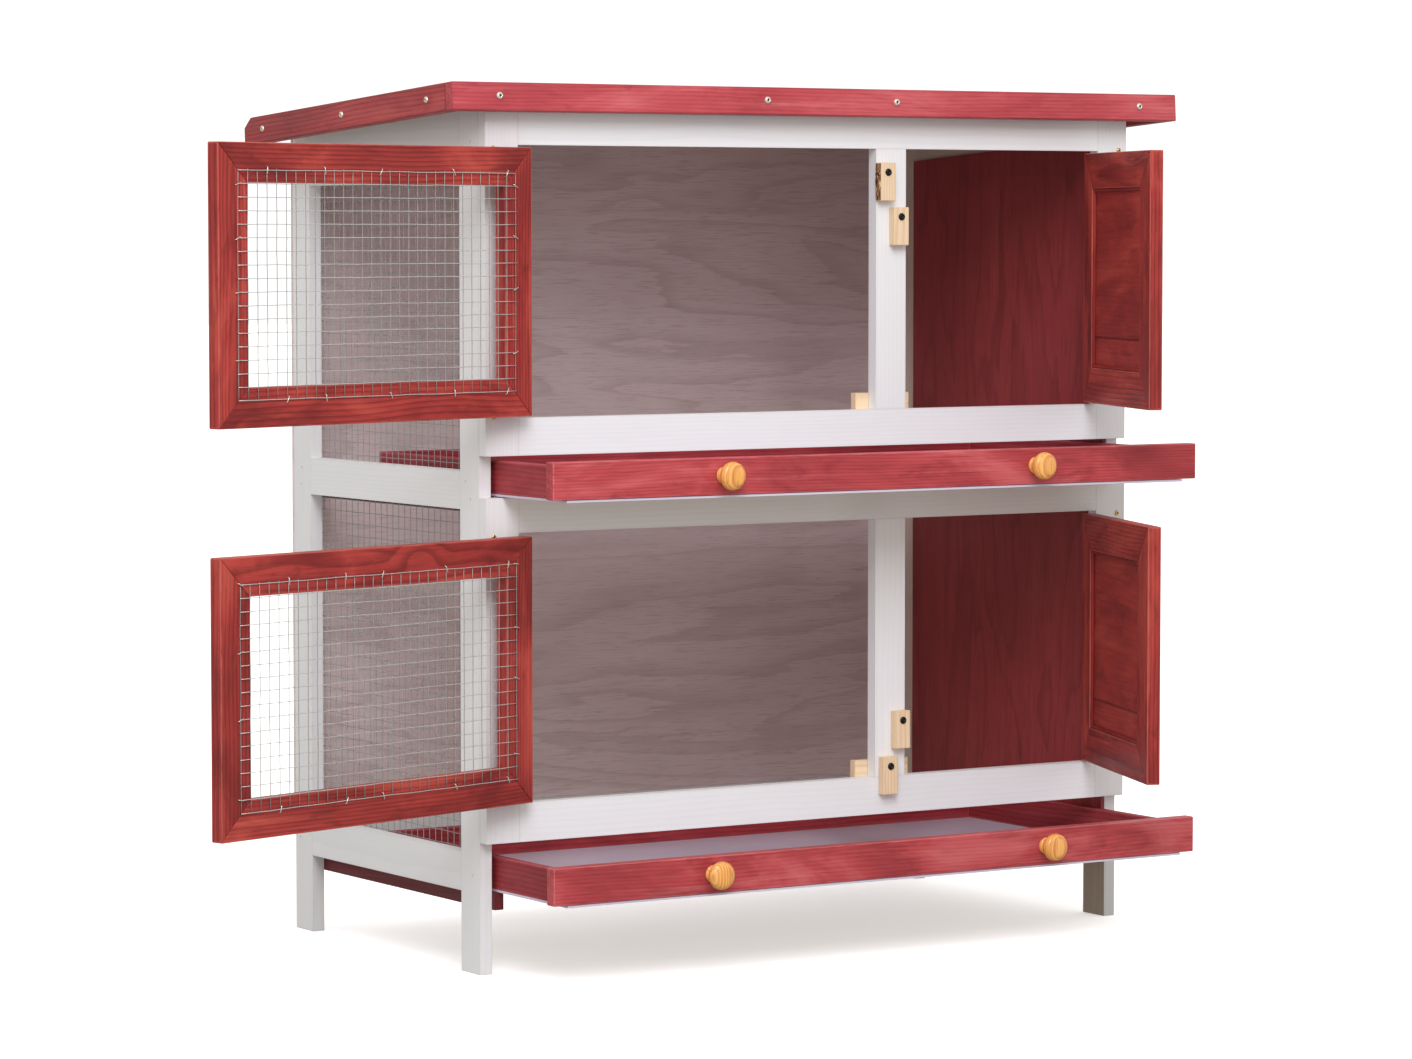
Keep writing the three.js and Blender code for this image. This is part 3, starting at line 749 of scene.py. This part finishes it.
def make_windows():
    for level in LEVELS:
        node = f"window_mesh_{level}"
        low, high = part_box(node)
        rng = random.Random(node)
        columns = int((high.y - low.y) / PITCH)
        rows = int((high.z - low.z) / PITCH)
        uprights, levels, _ = wire_meshes(rng, columns, rows, WINDOW_RADIUS, 0.3 * MM)
        middle = (low + high) / 2
        # wire x runs along the side, and the wire's y goes into the cabin
        turn = Matrix(((0, 1, 0, low.x + WINDOW_RADIUS), (1, 0, 0, middle.y), (0, 0, 1, middle.z),
                       (0, 0, 0, 1)))
        finish(f"{node}_uprights", uprights, WINDOW_WIRE, "carcass", [node], "x", turn, True)
        finish(f"{node}_levels", levels, WINDOW_WIRE, "carcass", (), "x", turn, True)
        staples = bmesh.new()
        inward = Vector((1, 0, 0))
        half_y = columns / 2 * PITCH
        half_z = rows / 2 * PITCH
        for k in range(6):
            y = middle.y + (k / 5 - 0.5) * 2 * (half_y - 6 * MM)
            for z in (middle.z - half_z, middle.z + half_z):
                add_staple(staples, rng, Vector((low.x, y, z)), Vector((0, 0, 1)), inward)
            z = middle.z + (k / 5 - 0.5) * 2 * (half_z - 6 * MM)
            for y in (middle.y - half_y, middle.y + half_y):
                add_staple(staples, rng, Vector((low.x, y, z)), Vector((0, 1, 0)), inward)
        finish(f"{node}_staples", staples, ZINC, "carcass", (), "x", smooth=True)


# ------------------------------------------------------------------ doors
JOINTS = {j["name"]: j for j in frame["joints"]}


def door_matrix(body):
    """From the closed door's frame, with its origin on the hinge pin, to where it stands."""
    joint = JOINTS[f"{body}_hinge"]
    turn = -joint["axis"][2] * math.radians(joint["range_deg"][0])
    x, y, _ = joint["pos_m"]
    return Matrix.Translation((x, y, 0)) @ Matrix.Rotation(turn, 4, "Z")


def mitred_members(x, z, inner_x, inner_z):
    """The four members between two rectangles as (name, grain, outline) in x and z."""
    (x0, x1), (z0, z1) = x, z
    (a0, a1), (c0, c1) = inner_x, inner_z
    j = 0.12 * MM
    return (("bottom", "x", ((x0 + j, z0), (x1 - j, z0), (a1 - j, c0), (a0 + j, c0))),
            ("top", "x", ((a0 + j, c1), (a1 - j, c1), (x1 - j, z1), (x0 + j, z1))),
            ("left", "z", ((x0, z0 + j), (a0, c0 + j), (a0, c1 - j), (x0, z1 - j))),
            ("right", "z", ((x1, z0 + j), (x1, z1 - j), (a1, c1 - j), (a1, c0 + j))))


def inset(limits, low, high):
    return (limits[0] + low, limits[1] - high)


def door_extent(kind, level):
    """The closed door's limits relative to its pin."""
    body = f"{kind}_{level}"
    pin = JOINTS[f"{body}_hinge"]["pos_m"]
    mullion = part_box(f"mullion_{level}")
    z = [v.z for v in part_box(body)]
    if kind == "mesh_door":
        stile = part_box(f"stile_left_{level}")
        x = (stile[1].x + DOOR_GAP - pin[0], mullion[0].x - DOOR_GAP - pin[0])
    else:
        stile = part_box(f"stile_right_{level}")
        x = (mullion[1].x + DOOR_GAP - pin[0], stile[0].x - DOOR_GAP - pin[0])
    y = (stile[0].y - pin[1], stile[0].y - pin[1] + BOARD)
    return x, y, z


def make_mesh_door(level):
    body = f"mesh_door_{level}"
    place = door_matrix(body)
    x, y, z = door_extent("mesh_door", level)
    members = mitred_members(x, z, inset(x, FACE, FACE), inset(z, FACE, FACE))
    for index, (side, grain, outline) in enumerate(members):
        bm = prism(outline, *y)
        finish(f"{body}_{side}", bm, RED, body, [body] if index == 0 else (), grain, place)
    rng = random.Random(body)
    columns = round((x[1] - x[0] - 50 * MM) / PITCH)
    rows = round((z[1] - z[0] - 50 * MM) / PITCH)
    uprights, levels, points = wire_meshes(rng, columns, rows, WIRE_RADIUS, 0.35 * MM)
    centre = Vector(((x[0] + x[1]) / 2, y[1] + GAP + WIRE_RADIUS, (z[0] + z[1]) / 2))
    where = place @ Matrix.Translation(centre)
    node = f"door_wire_{level}"
    # uprights and level wires are shaded and lit copies of one wire: painted shade on the uprights,
    # painted light on the level wires
    finish(f"{node}_uprights", uprights, SHADED_WIRE, body, [node], "x", where, True)
    finish(f"{node}_levels", levels, WIRE, body, (), "x", where, True)
    staples = bmesh.new()
    out = Vector((0, 1, 0))
    surface = Vector((centre.x, y[1], centre.z))
    for j in (0, rows):
        for i in range(1, columns, 6):
            spot = min(columns, i + rng.randint(0, 2))
            add_staple(staples, rng, surface + points[j][spot], Vector((0, 0, 1)), out)
    for i in (0, columns):
        for j in range(1, rows, 5):
            spot = min(rows, j + rng.randint(0, 2))
            add_staple(staples, rng, surface + points[spot][i], Vector((1, 0, 0)), out)
    finish(f"door_staples_{level}", staples, ZINC, body, (), "x", place, True)


PANEL_HINGE_FACE = 32 * MM     # width of the member that the hinges are on
BEAD = 3.4 * MM
PANEL_SUNK = 4 * MM
# where the panel's boards meet, as parts of its height
PANEL_JOINTS = {"lower": (0, 0.165, 1), "upper": (0, 0.172, 1)}


def make_panel_door(level):
    body = f"panel_door_{level}"
    place = door_matrix(body)
    x, y, z = door_extent("panel_door", level)
    inner_x = inset(x, FACE, PANEL_HINGE_FACE)
    inner_z = inset(z, FACE, FACE)
    for index, (side, grain, outline) in enumerate(mitred_members(x, z, inner_x, inner_z)):
        bm = prism(outline, *y)
        finish(f"{body}_{side}", bm, RED, body, [body] if index == 0 else (), grain, place)
    height = inner_z[1] - inner_z[0]
    joints = [inner_z[0] + part * height for part in PANEL_JOINTS[level]]
    for number, (a, b) in enumerate(zip(joints, joints[1:])):
        bm = box_mesh((inner_x[0] + 0.1 * MM, y[0] + PANEL_SUNK, a + 0.1 * MM),
                      (inner_x[1] - 0.1 * MM, y[1] - PANEL_SUNK, b - 0.1 * MM), 0.4 * MM)
        finish(f"{body}_panel_{number + 1}", bm, PANEL_RED, body, (), "x", place)
    beads = mitred_members(inner_x, inner_z, inset(inner_x, BEAD, BEAD), inset(inner_z, BEAD, BEAD))
    for face, (y0, y1) in (("inside", (y[1] - PANEL_SUNK + 0.05 * MM, y[1] - 1.2 * MM)),
                           ("outside", (y[0] + 1.2 * MM, y[0] + PANEL_SUNK - 0.05 * MM))):
        for side, grain, outline in beads:
            finish(f"{body}_bead_{face}_{side}", prism(outline, y0, y1, 0.9 * MM), SHADED_BEAD_RED, body,
                   (), grain, place)


# ------------------------------------------------------------------ hinges
LEAF_WIDTH = 22 * MM
LEAF_THICK = 1 * MM
KNUCKLE = 2.2 * MM


def add_knuckles(bm, pieces, z0, z1):
    """Alternate sleeves about the pin: pieces is the set of fifths that this leaf holds."""
    fifth = (z1 - z0) / 5
    ease = 0.3 * MM
    for k in pieces:
        a = z0 + k * fifth + 0.15 * MM
        b = z0 + (k + 1) * fifth - 0.15 * MM
        ring = [(0, a), (KNUCKLE - ease, a), (KNUCKLE, a + ease), (KNUCKLE, b - ease),
                (KNUCKLE - ease, b), (0, b)]
        lathe(bm, ring, 24, Matrix.Identity(4))


def hinge_leaf(direction, fifths, outer, inner, z0, z1):
    """A leaf on one side of the pin, with its sleeves and the arms that carry them."""
    near, far = sorted((direction * 1.2 * MM, direction * (LEAF_WIDTH + 1 * MM)))
    bm = box_mesh((near, outer, z0), (far, inner, z1), 0.25 * MM)
    add_knuckles(bm, fifths, z0, z1)
    fifth = (z1 - z0) / 5
    start, end = sorted((0, direction * 2.5 * MM))
    for k in fifths:
        a = z0 + k * fifth + 0.2 * MM
        b = z0 + (k + 1) * fifth - 0.2 * MM
        absorb(bm, box_mesh((start, outer, a), (end, inner, b), 0.1 * MM))
    return bm


def make_hinges(level):
    for kind, side, away in (("mesh_door", "left", -1), ("panel_door", "right", 1)):
        body = f"{kind}_{level}"
        pin = JOINTS[f"{body}_hinge"]["pos_m"]
        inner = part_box(f"stile_{side}_{level}")[0].y - pin[1] - GAP
        outer = inner - LEAF_THICK
        # holder, name, side of the pin, fifths of the barrel, frame
        leaves = (("carcass", "fixed", away, (0, 2, 4), Matrix.Translation((pin[0], pin[1], 0))),
                  (body, "door", -away, (1, 3), door_matrix(body)))
        screws = {"fixed": [], "door": []}
        for number in (1, 2):
            node = f"hinge_{level}_{side}_{number}"
            low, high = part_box(node)
            for holder, part, direction, fifths, place in leaves:
                bm = hinge_leaf(direction, fifths, outer, inner, low.z, high.z)
                for z in (low.z + 8 * MM, high.z - 8 * MM):
                    screws[part].append((Vector((direction * 13 * MM, outer, z)), (0, -1, 0)))
                nodes = [node] if part == "fixed" else ()
                finish(f"{node}_{part}_leaf", bm, BRASS, holder, nodes, "z", place)
        for holder, part, _, _, place in leaves:
            make_screws(f"hinge_screws_{level}_{side}_{part}", screws[part], 2.7 * MM, ZINC, holder, place)


# ------------------------------------------------------------------ trays
WALL_THICK = 9 * MM
FLOOR_THICK = 2.5 * MM
# radius and height in millimetres, from the base on the board to the top of the head
KNOB_PROFILE = ((0, 0), (8.2, 0), (8.8, 0.5), (8.8, 1.8), (8.0, 2.6), (6.6, 4.0), (6.1, 5.6), (6.3, 7.6),
                (7.6, 9.6), (10.4, 11.2), (12.8, 12.9), (14.1, 15.2), (14.4, 17.2), (13.9, 19.6),
                (12.6, 21.4), (10.4, 22.6), (7.6, 23.2), (4.0, 23.45), (0, 23.5))


def make_tray(level):
    body = f"tray_{level}"
    low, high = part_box(body)
    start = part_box(f"tray_front_{level}")[1].y + GAP
    floor_top = low.z + FLOOR_THICK
    seam = 0.1 * MM
    finish(f"{body}_floor", box_mesh(low, (high.x, high.y, floor_top - seam), 0.3 * MM),
           SHEET, body, [body], "x", bare_or_shaded=(Vector((0, 0, -1)), TRAY_BASE))
    inner_left, inner_right = low.x + WALL_THICK, high.x - WALL_THICK
    walls = (("side_left", "y", (low.x, start), inner_left),
             ("side_right", "y", (inner_right, start), high.x),
             ("rear", "x", (inner_left + seam, high.y - WALL_THICK), inner_right - seam))
    for wall, grain, (x, y), end in walls:
        bm = box_mesh((x, y, floor_top), (end, high.y, high.z))
        finish(f"{body}_{wall}", bm, TRAY_RED, body, (), grain)
    node = f"tray_front_{level}"
    finish(f"{node}_board", node_mesh(node, 1.1 * MM), FRONT_RED, body, [node], "x")
    scaled = [(r * MM, h * MM) for r, h in KNOB_PROFILE]
    for number in (1, 2):
        node = f"knob_{level}_{number}"
        a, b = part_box(node)
        centre = Vector(((a.x + b.x) / 2, b.y, (a.z + b.z) / 2))
        bm = bmesh.new()
        lathe(bm, scaled, 48, facing((0, -1, 0), centre))
        finish(f"{node}_turned", bm, KNOB, body, [node], "z", smooth=True)


# ------------------------------------------------------------------ turn buttons
def make_buttons():
    for level in LEVELS:
        for side in ("left", "right"):
            node = f"turn_button_{level}_{side}"
            pin = JOINTS[f"{node}_pivot"]["pos_m"]
            finish(f"{node}_block", node_mesh(node, 0.7 * MM), PINE, node, [node], "z")
            bm = bmesh.new()
            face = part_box(node)[0].y
            add_screw(bm, Vector((pin[0], face, pin[2])), (0, -1, 0), 3.9 * MM, 2.0 * MM)
            finish(f"{node}_screw", bm, DARK_SCREW_AND_DRIVE_SHADE, node, (), "x", smooth=True)


def make_bark():
    """A strip of bark left on the waney edge of the top button."""
    node = "turn_button_upper_left"
    low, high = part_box(node)
    rng = random.Random("bark")
    bm = bmesh.new()
    rows, depth = 26, 4
    grid = []
    for i in range(rows + 1):
        z = low.z + 0.8 * MM + (high.z - low.z - 1.6 * MM) * i / rows
        thick = (0.5 + 1.3 * rng.random() * math.sin(math.pi * (i + 0.5) / (rows + 1))) * MM
        line = []
        for k in range(depth + 1):
            y = low.y + 0.4 * MM + (high.y - low.y - 0.8 * MM) * k / depth
            swell = thick * (0.75 + 0.5 * rng.random())
            line.append((bm.verts.new((low.x - swell, y, z)), bm.verts.new((low.x + 0.4 * MM, y, z))))
        grid.append(line)
    for layer in (0, 1):
        for i in range(rows):
            for k in range(depth):
                quad = (grid[i][k], grid[i][k + 1], grid[i + 1][k + 1], grid[i + 1][k])
                bm.faces.new([pair[layer] for pair in quad])
    rim = [(0, k) for k in range(depth)] + [(i, depth) for i in range(rows)]
    rim += [(rows, k) for k in range(depth, 0, -1)] + [(i, 0) for i in range(rows, 0, -1)]
    for (i, k), (m, n) in zip(rim, rim[1:] + rim[:1]):
        a, b = grid[i][k], grid[m][n]
        bm.faces.new((a[0], b[0], b[1], a[1]))
    bmesh.ops.recalc_face_normals(bm, faces=bm.faces)
    finish(f"{node}_bark", bm, BARK, node, (), "z")


# ------------------------------------------------------------------ stage, light and camera
KEY_PLACE, KEY_TARGET = (-1.6, -3.2, 3.3), (0, 0, 0.45)
KEY_SIZE, KEY_WATTS, KEY_COLOUR = (2.0, 2.6), 134, (0.97, 0.965, 1.03)
SENSOR_MM, LENS_MM = 36, 122.7
# the camera's distances from the left front corner of the lower frame, and its height
CAMERA_LEFT, CAMERA_FRONT, CAMERA_HEIGHT = 2.389, 4.172, 0.750
CAMERA_YAW, CAMERA_DOWN = math.radians(32.42), math.radians(3.56)


def make_stage():
    bm = bmesh.new()
    bmesh.ops.create_grid(bm, x_segments=8, y_segments=8, size=30)
    mesh = bpy.data.meshes.new("floor")
    bm.to_mesh(mesh)
    bm.free()
    floor = bpy.data.objects.new("floor", mesh)
    floor.location.z = -0.2 * MM
    bpy.context.scene.collection.objects.link(floor)
    s = Shader("pale_floor")
    seen = s.node("ShaderNodeLightPath").outputs["Is Camera Ray"]
    s.put(s.bsdf.inputs["Base Color"], s.mix(seen, (0.36, 0.35, 0.33, 1), (0.93, 0.93, 0.93, 1)))
    s.bsdf.inputs["Roughness"].default_value = 0.9
    s.bsdf.inputs["Emission Color"].default_value = (1, 1, 1, 1)
    s.put(s.bsdf.inputs["Emission Strength"], s.ramp(seen, 0.0, 1.0, 0.05, 0.5))
    mesh.materials.append(s.material)


def area_light(name, place, target, size, power, colour):
    data = bpy.data.lights.new(name, "AREA")
    data.shape = "RECTANGLE"
    data.size, data.size_y = size
    data.energy = power
    data.color = colour
    light = bpy.data.objects.new(name, data)
    light.location = place
    light.rotation_euler = (Vector(target) - Vector(place)).to_track_quat("-Z", "Y").to_euler()
    bpy.context.scene.collection.objects.link(light)


def make_light_and_camera():
    scene = bpy.context.scene
    scene.view_settings.view_transform = "Standard"
    world = bpy.data.worlds.new("studio")
    scene.world = world
    world.use_nodes = True
    tree = world.node_tree
    tree.nodes.clear()
    out = tree.nodes.new("ShaderNodeOutputWorld")
    seen = tree.nodes.new("ShaderNodeBackground")
    lit = tree.nodes.new("ShaderNodeBackground")
    seen.inputs["Strength"].default_value = 1.1
    seen.inputs["Color"].default_value = (1, 1, 1, 1)
    lit.inputs["Strength"].default_value = 0.89
    lit.inputs["Color"].default_value = (1.0, 0.975, 0.945, 1)
    path = tree.nodes.new("ShaderNodeLightPath")
    mix = tree.nodes.new("ShaderNodeMixShader")
    tree.links.new(path.outputs["Is Camera Ray"], mix.inputs[0])
    tree.links.new(lit.outputs[0], mix.inputs[1])
    tree.links.new(seen.outputs[0], mix.inputs[2])
    tree.links.new(mix.outputs[0], out.inputs["Surface"])

    area_light("key", KEY_PLACE, KEY_TARGET, KEY_SIZE, KEY_WATTS, KEY_COLOUR)

    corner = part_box("stile_left_lower")[0]
    camera_data = bpy.data.cameras.new("camera")
    camera_data.sensor_width = SENSOR_MM
    camera_data.lens = LENS_MM
    camera = bpy.data.objects.new("camera", camera_data)
    camera.location = (corner.x - CAMERA_LEFT, corner.y - CAMERA_FRONT, CAMERA_HEIGHT)
    camera.rotation_euler = (math.pi / 2 - CAMERA_DOWN, 0, -CAMERA_YAW)
    scene.collection.objects.link(camera)
    scene.camera = camera


make_carcass()
make_right_wall()
make_roof()
make_frame_screws()
make_carcass_nails()
make_windows()
for storey in LEVELS:
    make_mesh_door(storey)
    make_panel_door(storey)
    make_hinges(storey)
    make_tray(storey)
make_buttons()
make_bark()
make_stage()
make_light_and_camera()
